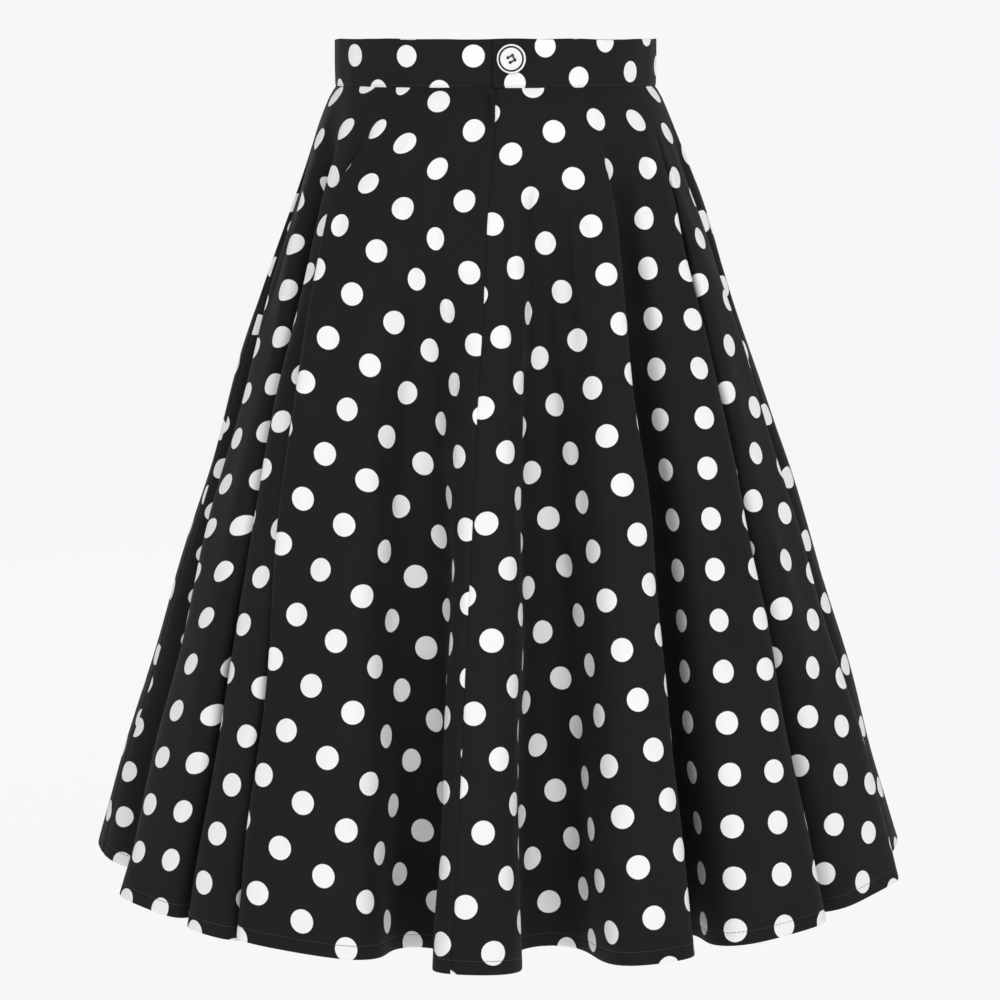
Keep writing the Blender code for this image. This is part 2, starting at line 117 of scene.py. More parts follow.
def waveShape(swing):
    angle = swing * np.sin(2 * pi * wave)
    run = np.concatenate([[0], np.cumsum((np.cos(angle)[1:] + np.cos(angle)[:-1]) / 2)])
    dip = np.concatenate([[0], np.cumsum((np.sin(angle)[1:] + np.sin(angle)[:-1]) / 2)])
    return run / (len(wave) - 1), dip / (len(wave) - 1)


swings = np.linspace(0, 2.2, 111)
chords = np.array([waveShape(swing)[0][-1] for swing in swings])


def hollow(start, end, clothWidth):
    across = end - start
    chord = float(np.hypot(across[0], across[1]))
    along = across / chord
    inward = np.array([-along[1], along[0]])
    share = min(1.0, max(chord / clothWidth, skirt["shallowestChord"]))
    run, dip = waveShape(np.interp(-share, -chords, swings))
    return start + chord / run[-1] * (run[:, None] * along + dip[:, None] * inward)


def flare(part):
    return part + skirt["flareBelly"] * part ** 0.5 * (1 - part)


def foldAngle(fold, length):
    return fold[1] + fold[7] * (1 - length / clothLength) ** 2


def halfFace(fold, length):
    hemHalf = radians(fold[5]) / 2 * (cutRadius + clothLength)
    return hemHalf * (skirt["faceAtWaist"] + (1 - skirt["faceAtWaist"]) * length / clothLength)


def foldEnds(fold, length):
    hemPoint, hemFacing, sway = np.array(fold[2:4]), fold[4], fold[8]
    arc = radians(foldAngle(fold, 0)) * cutRadius
    facing = float(ovalFacing(arc)) % (2 * pi)
    turnBy = (radians(hemFacing) - facing + pi) % (2 * pi) - pi
    part = length / clothLength
    turn = facing + turnBy * part
    across = np.array([cos(turn), sin(turn)])
    waistPoint = ovalPoint(arc)
    middle = waistPoint + (hemPoint - waistPoint) * flare(part)
    middle = middle + across * sway * part ** 0.3 * (1 - part)
    half = halfFace(fold, length)
    return middle - across * half, middle + across * half


def clothRing(length, cutAngles):
    folds = skirt["folds"]
    radius = cutRadius + length
    ends = [foldEnds(fold, length) for fold in folds]
    angles, points = [], []
    for index, fold in enumerate(folds):
        after = (index + 1) % len(folds)
        other = folds[after]
        leave = foldAngle(fold, length) + np.degrees(halfFace(fold, length) / radius)
        reach = foldAngle(other, length) - np.degrees(halfFace(other, length) / radius)
        reach += 360 if after == 0 else 0
        width = radians(reach - leave) * radius * fold[6]
        angles.extend(leave + wave * (reach - leave))
        points.extend(hollow(ends[index][1], ends[after][0], width))
    angles = np.array(angles)
    angles = np.concatenate([angles - 360, angles, angles + 360])
    points = np.array(points * 3)
    ring = np.stack([np.interp(cutAngles, angles, points[:, k]) for k in (0, 1)], axis=-1)
    reachSteps = int(3 * skirt["softenAngle"] / skirt["angleStep"])
    offsets = np.arange(-reachSteps, reachSteps + 1)
    weights = np.exp(-0.5 * (offsets * skirt["angleStep"] / skirt["softenAngle"]) ** 2)
    weights /= weights.sum()
    return sum(w * np.roll(ring, -k, axis=0) for k, w in zip(offsets, weights))


def drapeCloth():
    cutAngles = np.arange(0, 360, skirt["angleStep"])
    lengths = np.linspace(0, clothLength, int(clothLength / skirt["lengthStep"]) + 1)
    meanReach = np.mean([np.hypot(fold[2], fold[3]) for fold in skirt["folds"]]) - cutRadius
    plan = []
    for length in lengths:
        reach = meanReach * flare(length / clothLength)
        smooth = ovalPoint(np.radians(cutAngles) * cutRadius, reach)
        folded = smoothStep(length, 0, skirt["yokeDepth"])
        plan.append(smooth + (clothRing(length, cutAngles) - smooth) * folded)
    plan = np.array(plan)
    step = np.diff(lengths)[:, None]
    run = np.minimum(np.linalg.norm(np.diff(plan, axis=0), axis=2), skirt["steepestRun"] * step)
    drop = np.cumsum(np.sqrt(step ** 2 - run ** 2), axis=0)
    height = skirt["seamHeight"] - np.concatenate([np.zeros((1, plan.shape[1])), drop], axis=0)
    cloth = np.concatenate([plan, height[:, :, None]], axis=2)
    across = np.roll(cloth, -1, axis=1) - np.roll(cloth, 1, axis=1)
    return cloth, unit(np.cross(np.gradient(cloth, axis=0), across))


clothPoints, clothFacing = drapeCloth()
print("drape worked out", clothPoints.shape)


def sampleCloth(field, lengths, cutAngles):
    # field at every pair of a length and a cut angle, as rows by columns
    row = np.clip(np.asarray(lengths) / clothLength, 0, 1) * (field.shape[0] - 1)
    lowRow = np.minimum(row.astype(int), field.shape[0] - 2)
    down = (row - lowRow)[..., None]
    column = np.mod(cutAngles, 360) / skirt["angleStep"]
    lowColumn = column.astype(int) % field.shape[1]
    nextColumn = (lowColumn + 1) % field.shape[1]
    across = (column - np.floor(column))[..., None]
    upper = field[lowRow, lowColumn] * (1 - across) + field[lowRow, nextColumn] * across
    lower = field[lowRow + 1, lowColumn] * (1 - across) + field[lowRow + 1, nextColumn] * across
    return upper * (1 - down) + lower * down


def clothRun(reference):
    # how far the cloth runs along each ring of the drape from the line at the reference angle
    steps = np.linalg.norm(np.roll(clothPoints, -1, axis=1) - clothPoints, axis=2)
    first = int(round(reference / skirt["angleStep"]))
    steps = np.roll(steps, -first, axis=1)
    run = np.cumsum(steps, axis=1) - steps
    run[:, run.shape[1] // 2:] -= steps.sum(axis=1, keepdims=True)
    return np.roll(run, first, axis=1)[..., None]


# small creases in the cloth, on top of the drape

creases = {
    "soft": [  # cut angle, from, to, half width, depth (a ridge where above 0), lean in degrees
        (5.5, 0.02, 0.30, 0.006, -0.0016, 1.5),
        (9.0, 0.10, 0.46, 0.009, 0.0018, -1.0),
        (13.5, 0.03, 0.24, 0.007, -0.0020, 0.5),
        (20.0, 0.05, 0.62, 0.011, 0.0020, 2.0),
        (25.0, 0.02, 0.21, 0.006, 0.0014, -1.0),
        (32.0, 0.28, 0.64, 0.010, -0.0015, 1.0),
        (38.5, 0.02, 0.27, 0.007, -0.0018, -2.0),
        (44.0, 0.06, 0.40, 0.009, 0.0016, 1.0),
        (51.0, 0.20, 0.62, 0.013, -0.0024, -0.8),
        (57.0, 0.01, 0.19, 0.006, 0.0014, 1.0),
        (64.5, 0.08, 0.50, 0.011, -0.0018, 1.5),
        (70.0, 0.30, 0.64, 0.012, 0.0020, -1.0),
        (76.0, 0.02, 0.24, 0.007, -0.0016, 0.0),
        (83.0, 0.10, 0.44, 0.009, 0.0015, -1.5),
        (97.0, 0.02, 0.26, 0.007, -0.0018, 1.0),
        (109.0, 0.16, 0.60, 0.012, 0.0022, -1.0),
        (118.0, 0.03, 0.30, 0.008, -0.0017, 1.2),
        (126.0, 0.22, 0.63, 0.013, -0.0024, 0.8),
        (131.5, 0.02, 0.23, 0.006, 0.0015, -1.0),
        (139.0, 0.10, 0.46, 0.009, 0.0017, 1.5),
        (151.0, 0.02, 0.29, 0.007, -0.0016, -1.5),
        (163.5, 0.24, 0.64, 0.012, -0.0023, 1.0),
        (169.5, 0.05, 0.42, 0.009, 0.0017, -0.6),
        (178.0, 0.02, 0.20, 0.006, -0.0014, 0.5),
        (192.0, 0.12, 0.55, 0.010, 0.0019, -1.4),
        (204.0, 0.02, 0.25, 0.007, -0.0017, 1.0),
        (210.5, 0.26, 0.63, 0.013, 0.0022, 0.7),
        (221.0, 0.04, 0.36, 0.008, -0.0016, -1.0),
        (234.0, 0.14, 0.50, 0.010, 0.0018, 1.3),
        (247.5, 0.02, 0.27, 0.007, -0.0018, -0.8),
        (253.0, 0.28, 0.64, 0.012, -0.0022, 1.1),
        (262.0, 0.05, 0.33, 0.008, 0.0015, -1.0),
        (281.0, 0.02, 0.25, 0.007, -0.0016, 1.0),
        (290.0, 0.18, 0.60, 0.011, 0.0020, -1.2),
        (298.0, 0.04, 0.34, 0.008, -0.0018, 0.9),
        (306.0, 0.10, 0.48, 0.009, 0.0015, -1.0),
        (318.0, 0.02, 0.22, 0.006, -0.0015, 1.4),
        (329.0, 0.05, 0.58, 0.011, 0.0022, -2.2),
        (333.5, 0.22, 0.64, 0.014, -0.0026, -1.2),
        (338.5, 0.03, 0.30, 0.008, 0.0015, 1.0),
        (344.0, 0.08, 0.50, 0.010, -0.0018, 1.6),
        (350.5, 0.02, 0.26, 0.007, 0.0016, -1.0),
        (355.0, 0.14, 0.40, 0.007, -0.0013, 0.6),
    ],
    "waver": 0.0009,        # slow unevenness all over the cloth
    "waverWaves": [(7, 31, 0, 1), (13, -19, 1.3, 1), (29, 11, 2.1, 0.7), (47, -43, 0, 0.5)],
    "hemFlutter": 0.0022,   # how far the hem leans in and out
    "flutterWaves": [(23, 0, 0.4, 1 / 1.8), (38, 0, 2.0, 0.8 / 1.8)],
    "hemReach": 0.07,
    "zipPucker": 0.0005,    # ripples beside the zip
    "puckerPitch": 0.017,
    "puckerBeat": 0.06,
    "puckerReach": 0.012,
    "zipEnd": 0.190,
}


def waves(rows, turn, down=0.0):
    # each row is waves all round, slope on the way down, start and height
    return sum(high * np.sin(count * turn + slope * down + start)
               for count, slope, start, high in rows)


def creaseHeight(lengths, cutAngles):
    radius = cutRadius + lengths
    height = np.zeros(np.broadcast(lengths, cutAngles).shape)
    for cutAngle, begin, end, halfWidth, depth, lean in creases["soft"]:
        centre = cutAngle + lean * (lengths - begin)
        offset = np.radians((cutAngles - centre + 180) % 360 - 180) * radius
        spread = halfWidth * (0.6 + 0.8 * lengths / clothLength)
        fade = smoothStep(lengths, begin, begin + 0.3 * (end - begin))
        fade = fade * (1 - smoothStep(lengths, end - 0.4 * (end - begin), end))
        height += depth * fade * np.exp(-(offset / spread) ** 2)
    turn = np.radians(cutAngles)
    slow = waves(creases["waverWaves"], turn, lengths)
    height += creases["waver"] * slow * smoothStep(lengths, 0.01, 0.10)
    low = smoothStep(lengths, clothLength - creases["hemReach"], clothLength)
    height += creases["hemFlutter"] * low ** 2 * waves(creases["flutterWaves"], turn)
    fromSeam = np.radians((cutAngles + 180) % 360 - 180) * radius
    nearSeam = np.exp(-(fromSeam / creases["puckerReach"]) ** 2)
    beat = 0.6 * np.sin(2 * pi * lengths / creases["puckerBeat"])
    ripple = np.sin(2 * pi * lengths / creases["puckerPitch"] + beat)
    along = smoothStep(lengths, 0.012, 0.04)
    along = along * (1 - smoothStep(lengths, creases["zipEnd"], creases["zipEnd"] + 0.03))
    height += creases["zipPucker"] * ripple * nearSeam * along
    return height


def clothSurface(lengths, cutAngles):
    # points on the outer face of the creased cloth, and the way it faces
    points = sampleCloth(clothPoints, lengths, cutAngles)
    facing = unit(sampleCloth(clothFacing, lengths, cutAngles))
    return points + facing * creaseHeight(lengths, cutAngles)[..., None], facing


# materials

def newMaterial(name):
    material = bpy.data.materials.new(name)
    material.use_nodes = True
    tree = material.node_tree
    return material, tree, tree.nodes["Principled BSDF"]


def feed(tree, node, values):
    # each input by its name or number: a link from another node's output, or else a constant
    for key, value in values.items():
        if isinstance(value, bpy.types.NodeSocket):
            tree.links.new(value, node.inputs[key])
        else:
            node.inputs[key].default_value = value


def mathNode(tree, operation, *values):
    node = tree.nodes.new("ShaderNodeMath")
    node.operation = operation
    feed(tree, node, dict(enumerate(values)))
    return node.outputs[0]


def vectorNode(tree, operation, *values):
    node = tree.nodes.new("ShaderNodeVectorMath")
    node.operation = operation
    feed(tree, node, dict(enumerate(values)))
    return node.outputs["Value" if operation == "LENGTH" else "Vector"]


def splitNode(tree, vector):
    node = tree.nodes.new("ShaderNodeSeparateXYZ")
    feed(tree, node, {0: vector})
    return node.outputs


def easeNode(tree, value, low, high, atLow, atHigh):
    node = tree.nodes.new("ShaderNodeMapRange")
    node.interpolation_type = "SMOOTHSTEP"
    feed(tree, node, dict(enumerate((value, low, high, atLow, atHigh))))
    return node.outputs[0]


def mixColour(tree, factor, first, second):
    node = tree.nodes.new("ShaderNodeMix")
    node.data_type = "RGBA"
    first, second = [(*c, 1) if isinstance(c, tuple) else c for c in (first, second)]
    feed(tree, node, {0: factor, 6: first, 7: second})
    return node.outputs[2]


def noiseNode(tree, vector, scale, detail):
    node = tree.nodes.new("ShaderNodeTexNoise")
    feed(tree, node, {"Vector": vector, "Scale": scale, "Detail": detail})
    return node.outputs["Fac"]


def objectPlace(tree):
    return tree.nodes.new("ShaderNodeTexCoord").outputs["Object"]


def addBump(tree, shader, height, strength, distance):
    node = tree.nodes.new("ShaderNodeBump")
    feed(tree, node, {"Height": height, "Strength": strength, "Distance": distance})
    feed(tree, shader, {"Normal": node.outputs["Normal"]})


cotton = {
    "dotPitch": 0.0390,
    "dotRadius": 0.00885,
    "dotTurn": 45,
    "edgeBlur": 0.00022,
    "ground": (0.0068, 0.0060, 0.0075),
    # the lighter ground: painted light on the weave's crests, and the pale side of a random mottle
    "groundMottleAndLitCrests": (0.0108, 0.0096, 0.0118),
    "dot": (0.80, 0.785, 0.80),
    # the dimmer dots: painted shade in the weave's hollows, and the dark side of a random mottle
    "dotShade": (0.74, 0.722, 0.742),
    "reverseGround": (0.026, 0.024, 0.028),
    "reverseDot": (0.52, 0.51, 0.525),
    "threadPitch": 0.00042,
    "slubSize": 160,        # noise scales, per metre
    "bleedSize": 900,
    "fibreSize": 2600,
    "cloudSize": 22,
    "bleed": 0.010,
    "fibreHeight": 0.8,
    "weaveShade": 0.22,
    "bump": 0.00006,
    "bumpStrength": 0.55,
    "rough": (0.12, 0.70),  # spread and lowest
    "specular": 0.12,
    "sheen": 0.03,
    "sheenRough": 0.45,
    "sheenTint": (0.86, 0.84, 0.90, 1),
}


def cottonMaterial(name, ground, groundMottleAndLitCrests, dot, dotShade):
    # printed plain weave: round dots on a square lattice set at 45 degrees to the grain
    material, tree, shader = newMaterial(name)
    uv = tree.nodes.new("ShaderNodeUVMap").outputs["UV"]
    lattice = tree.nodes.new("ShaderNodeMapping")
    feed(tree, lattice, {"Vector": uv, "Rotation": (0, 0, -radians(cotton["dotTurn"])),
                         "Scale": [1 / cotton["dotPitch"]] * 3})
    cell = vectorNode(tree, "FRACTION", lattice.outputs["Vector"])
    centred = splitNode(tree, vectorNode(tree, "SUBTRACT", cell, (0.5, 0.5, 0)))
    squareX = mathNode(tree, "MULTIPLY", centred[0], centred[0])
    squareSum = mathNode(tree, "MULTIPLY_ADD", centred[1], centred[1], squareX)
    distance = mathNode(tree, "SQRT", squareSum)
    bleed = noiseNode(tree, uv, cotton["bleedSize"], 2)
    distance = mathNode(tree, "MULTIPLY_ADD", bleed, cotton["bleed"], distance)
    radius = cotton["dotRadius"] / cotton["dotPitch"] + cotton["bleed"] / 2
    blur = cotton["edgeBlur"] / cotton["dotPitch"]
    onDot = easeNode(tree, distance, radius - blur, radius + blur, 1, 0)
    threads = splitNode(tree, uv)
    turnsPerMetre = 2 * pi / cotton["threadPitch"]
    slub = noiseNode(tree, uv, cotton["slubSize"], 2)
    warp = mathNode(tree, "SINE", mathNode(tree, "MULTIPLY_ADD", threads[0], turnsPerMetre, slub))
    weft = mathNode(tree, "SINE", mathNode(tree, "MULTIPLY_ADD", threads[1], turnsPerMetre, slub))
    weave = mathNode(tree, "MULTIPLY", warp, weft)
    fibre = noiseNode(tree, uv, cotton["fibreSize"], 3)
    surface = mathNode(tree, "MULTIPLY_ADD", fibre, cotton["fibreHeight"], weave)
    cloud = noiseNode(tree, uv, cotton["cloudSize"], 4)
    # mix factor for both the ground and the dots: painted light and shade that follow the weave's
    # relief (lighter on its crests, darker in its hollows), added to a random cloud mottle
    worn = mathNode(tree, "MULTIPLY_ADD", weave, cotton["weaveShade"], cloud)
    groundColour = mixColour(tree, worn, ground, groundMottleAndLitCrests)
    dotColour = mixColour(tree, worn, dotShade, dot)
    addBump(tree, shader, surface, cotton["bumpStrength"], cotton["bump"])
    feed(tree, shader, {
        "Base Color": mixColour(tree, onDot, groundColour, dotColour),
        "Roughness": mathNode(tree, "MULTIPLY_ADD", cloud, *cotton["rough"]),
        "Specular IOR Level": cotton["specular"],
        "Sheen Weight": cotton["sheen"],
        "Sheen Roughness": cotton["sheenRough"],
        "Sheen Tint": cotton["sheenTint"],
    })
    return material


cottonFace = cottonMaterial("dottedCotton", cotton["ground"], cotton["groundMottleAndLitCrests"],
                            cotton["dot"], cotton["dotShade"])
cottonBack = cottonMaterial("dottedCottonReverse", cotton["reverseGround"], cotton["reverseGround"],
                            cotton["reverseDot"], cotton["reverseDot"])


def threadMaterial():
    material, tree, shader = newMaterial("blackThread")
    twist = noiseNode(tree, objectPlace(tree), 4200, 2)
    colour = mixColour(tree, twist, (0.006, 0.006, 0.007), (0.030, 0.029, 0.033))
    addBump(tree, shader, twist, 0.5, 0.00008)
    feed(tree, shader, {"Base Color": colour, "Roughness": 0.6, "Sheen Weight": 0.15})
    return material


thread = threadMaterial()


# meshes made in code

def makeMesh(name, points, faces, uvs=None, materials=(), faceSlots=None):
    mesh = bpy.data.meshes.new(name)
    mesh.from_pydata([tuple(p) for p in points], [], faces)
    if uvs is not None:
        layer = mesh.uv_layers.new(name="UVMap")
        corners = np.empty(len(mesh.loops), dtype=np.int32)
        mesh.loops.foreach_get("vertex_index", corners)
        layer.data.foreach_set("uv", np.asarray(uvs)[corners].astype(np.float32).ravel())
    for material in materials:
        mesh.materials.append(material)
    if faceSlots is not None:
        mesh.polygons.foreach_set("material_index", np.asarray(faceSlots, dtype=np.int32))
    mesh.polygons.foreach_set("use_smooth", [True] * len(mesh.polygons))
    mesh.update()
    piece = bpy.data.objects.new(name, mesh)
    bpy.context.scene.collection.objects.link(piece)
    return piece


def faceOutwards(piece):
    bm = bmesh.new()
    bm.from_mesh(piece.data)
    bmesh.ops.recalc_face_normals(bm, faces=bm.faces)
    bm.to_mesh(piece.data)
    bm.free()


def gridFaces(rows, columns, first, flip):
    faces = []
    for r in range(rows - 1):
        base = first + r * columns
        for c in range(columns - 1):
            quad = (base + c, base + columns + c, base + columns + c + 1, base + c + 1)
            faces.append(quad[::-1] if flip else quad)
    return faces


def sheetMesh(name, outer, inner, uv, materials):
    # a closed wall between two grids of points, with a row of faces round its rim
    rows, columns = outer.shape[:2]
    count = rows * columns
    points = np.concatenate([outer.reshape(-1, 3), inner.reshape(-1, 3)])
    faces = gridFaces(rows, columns, 0, False)
    slots = [0] * len(faces)
    faces += gridFaces(rows, columns, count, True)
    slots += [1] * (len(faces) - len(slots))
    border = [(0, c) for c in range(columns)] + [(r, columns - 1) for r in range(1, rows)]
    border += [(rows - 1, c) for c in range(columns - 2, -1, -1)]
    border += [(r, 0) for r in range(rows - 2, 0, -1)]
    for here, there in zip(border, border[1:] + border[:1]):
        a = here[0] * columns + here[1]
        b = there[0] * columns + there[1]
        faces.append((b, a, a + count, b + count)[::-1])
        slots.append(0)
    flat = np.concatenate([uv.reshape(-1, 2), uv.reshape(-1, 2)])
    piece = makeMesh(name, points, faces, flat, materials, slots)
    faceOutwards(piece)
    return piece


# the three skirt panels

panels = {
    "wall": 0.0009,
    "hemWall": 0.0017,
    "hemTurn": 0.0100,
    "hemStep": 0.0006,
    "edgeRoll": (0.0006, 0.0014),       # depth and reach, as in the next three
    "stitchDip": (0.00035, 0.0007),
    "seamRoll": (0.0009, 0.0032),
    "seamGap": 0.00005,
    "tuckIn": 0.0003,
    "tuckUp": 0.0030,
    "lapInset": 0.0026,
    "lapAngles": (-11, -8, 16, 19),     # the inset begins, is full, is still full, and ends
    "foldEase": (30, 45),               # where the print's ease dies away, from the centre back
    "seamEase": (5, 20),
    "rowStep": 0.0065,
    "hemRows": (-0.0016, -0.0006, 0, 0.0006, 0.0016, 0.0040, 0.0066, 0.0086, 0.0095),
    "columnStep": 0.5,
    "seamColumns": (0, 0.05, 0.11, 0.20, 0.34, 0.55),
    "pieces": [  # name, node, from, to, print line, grain, print turn, shift across and along
        ("backRightPanel", "back_right_panel", 0.0, 90.0, 25.0, 0.0, 4.0, 0.0213, 0.0250),
        ("frontPanel", "front_panel", 90.0, 270.0, 180.0, 180.0, -1.0, 0.0100, 0.0060),
        ("backLeftPanel", "back_left_panel", 270.0, 360.0, 337.0, 360.0, 1.0, 0.0063, 0.0097),
    ],
    "hiddenCloth": {  # length, turn of the print on the wide fold and beside the centre back
        "backRightPanel": [(0, -1, -1.5), (0.12, -0.9, -2.5), (0.22, -0.5, -1.5), (0.38, 0, 0)],
        "backLeftPanel": [(0, 4.5, 5), (0.14, 2.4, 5.5), (0.24, 1.5, 2.5), (0.36, 0, 0)],
    },
}


def panelLengths():
    stitched = clothLength - panels["hemTurn"]
    regular = np.arange(0.004, stitched - 0.003, panels["rowStep"])
    hem = stitched + np.array([*panels["hemRows"], panels["hemTurn"]])
    return np.concatenate([[0, 0.0012], regular, hem])


def panelAngles(start, end):
    nearSeam = np.array(panels["seamColumns"])
    first, last = start + nearSeam[-1], end - nearSeam[-1]
    middle = np.linspace(first, last, int((last - first) / panels["columnStep"]) + 1)
    return np.concatenate([start + nearSeam[:-1], middle, (end - nearSeam[:-1])[::-1]])


def printEase(name, lengths, cutAngles):
    # cloth hidden in the folds beside the centre back carries the print on past them
    rows = np.array(panels["hiddenCloth"].get(name, [(0, 0, 0)]))
    onFold = np.interp(lengths, rows[:, 0], rows[:, 1])
    atSeam = np.interp(lengths, rows[:, 0], rows[:, 2])
    fromBack = np.abs((cutAngles + 180) % 360 - 180)
    nearFold = 1 - smoothStep(fromBack, *panels["foldEase"])
    nearSeam = 1 - smoothStep(fromBack, *panels["seamEase"])
    return np.radians(onFold * nearFold + (atSeam - onFold) * nearSeam)


def makePanel(name, node, start, end, printLine, grain, printTurn, shiftAcross, shiftAlong):
    lengths = panelLengths()
    angles = panelAngles(start, end)
    lengthGrid, angleGrid = np.meshgrid(lengths, angles, indexing="ij")
    outer, facing = clothSurface(lengthGrid, angleGrid)
    radius = cutRadius + lengthGrid
    fromSeam = np.radians(np.minimum(angleGrid - start, end - angleGrid)) * radius
    depth, reach = panels["seamRoll"]
    seamRoll = depth * np.clip(1 - fromSeam / reach, 0, 1) ** 2
    fromHem = clothLength - lengthGrid
    hemTurn, hemStep = panels["hemTurn"], panels["hemStep"]
    depth, reach = panels["stitchDip"]
    stitchDip = depth * np.exp(-((fromHem - hemTurn) / reach) ** 2)
    depth, reach = panels["edgeRoll"]
    edgeRoll = depth * np.clip(1 - fromHem / reach, 0, 1) ** 2
    outer = outer - facing * (seamRoll + stitchDip + edgeRoll)[..., None]
    hemSide = smoothStep(-fromHem, -hemTurn - hemStep, -hemTurn + hemStep)
    wall = panels["wall"] + (panels["hemWall"] - panels["wall"]) * hemSide
    inner = outer - facing * (wall - 2 * edgeRoll)[..., None]
    gap = panels["seamGap"] / 2
    for column, beside in ((0, 1), (-1, -2)):
        across = unit(outer[:, beside] - outer[:, column]) * gap
        outer[:, column] += across
        inner[:, column] += across
    # the top edge goes up inside the waistband, and further in behind the underlap
    lift = np.array([0, 0, panels["tuckUp"]])
    toLap = (angleGrid[:1] + 180) % 360 - 180
    begins, full, leaves, ends = panels["lapAngles"]
    behind = panels["lapInset"] * smoothStep(toLap, begins, full)
    behind = (behind * (1 - smoothStep(toLap, leaves, ends)))[..., None]
    outer = np.concatenate([outer[:1] - facing[:1] * (panels["tuckIn"] + behind) + lift, outer])
    inner = np.concatenate([inner[:1] - facing[:1] * behind + lift, inner])
    run = sampleCloth(clothRun(printLine), lengthGrid, angleGrid)[..., 0]
    turn = radians(printLine - grain) + run / radius + printEase(name, lengthGrid, angleGrid)
    across, along = radius * np.sin(turn), -radius * np.cos(turn)
    tilt = radians(printTurn)
    uv = np.stack([across * cos(tilt) - along * sin(tilt) + shiftAcross,
                   across * sin(tilt) + along * cos(tilt) + shiftAlong], axis=-1)
    uv = np.concatenate([uv[:1], uv])
    piece = sheetMesh(name, outer, inner, uv, (cottonFace, cottonBack))
    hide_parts(node)
    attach(piece, "skirt")
    return piece


panelObjects = [makePanel(*row) for row in panels["pieces"]]
print("panels made", [len(piece.data.polygons) for piece in panelObjects])


# the waistband: a doubled strip, its right end lapped over the left

band = {
    "height": 0.0365,
    "wall": 0.0020,
    "proud": 0.0004,
    "edge": 0.00085,
    "lapEnd": -0.002,
    "underlapEnd": 0.030,
    "underlapRise": (-0.018, -0.004),
    "layerGap": 0.0003,
    "sections": 560,
    "topRipple": 0.0006,
    "topWaves": [(5, 0, 0.8, 1 / 1.6), (13, 0, 0, 0.6 / 1.6)],
    "sideRipple": 0.00035,
    "sideWaves": [(9, 0, 1.1, 1), (21, 0, 0.3, 0.7), (34, 0, 2.0, 0.6)],
    "leftDot": (-0.0166, 0.0058),     # a dot's centre: along the band, and its height
    "rightDot": (0.0383, 0.0128),
    "rightTilt": 4.5,
    "leftScale": 1.036,
    "rightScale": 1.087,
    "printTurns": (0.22, 0.78),       # shares of the way round
    "stitchHeight": 0.0016,
    "groove": (0.00025, 0.0006),
    "endRound": 0.0012,
}


def bandOutward(arc):
    low, high = band["underlapRise"]
    sunk = smoothStep(arc, low, high) * (band["wall"] + band["layerGap"])
    return band["proud"] - np.where(arc > -waistGirth / 2, sunk, 0)


def bandPoint(arc, height, inset=0.0):
    # a point on the band's outer face, a little uneven as sewn cloth is
    turn = 2 * pi * arc / waistGirth
    ripple = band["sideRipple"] * waves(band["sideWaves"], turn)
    middle = 1 - (height / (band["height"] / 2)) ** 2
    outward = bandOutward(arc) + ripple * (0.35 + 0.65 * middle) - inset
    lift = band["topRipple"] * waves(band["topWaves"], turn)
    lift = lift * smoothStep(height, -0.01, band["height"] / 2)
    place = ovalPoint(arc, outward)
    return np.concatenate([place, np.broadcast_to(height + lift, arc.shape)[..., None]], axis=-1)


def bandUv(arc, height):
    # the print runs round without a break, and turns a little on the way to the right end
    half = cotton["dotPitch"] / sqrt(2)
    leftDot, rightDot = band["leftDot"], band["rightDot"]
    left = band["leftScale"] * np.stack([arc - leftDot[0], height - leftDot[1]], axis=-1)
    tilt = radians(band["rightTilt"])
    across = band["rightScale"] * (arc + waistGirth - rightDot[0])
    above = band["rightScale"] * (height - rightDot[1])
    right = np.stack([across * cos(tilt) + above * sin(tilt),
                      above * cos(tilt) - across * sin(tilt)], axis=-1)
    middleRight = band["rightScale"] * (waistGirth / 2 - rightDot[0])
    middleLeft = band["leftScale"] * (-waistGirth / 2 - leftDot[0])
    right[..., 0] -= round((middleRight - middleLeft) / (2 * half)) * 2 * half
    blend = smoothStep(-arc / waistGirth, *band["printTurns"])[..., None]
    return left * (1 - blend) + right * blend + np.array([half, 0])


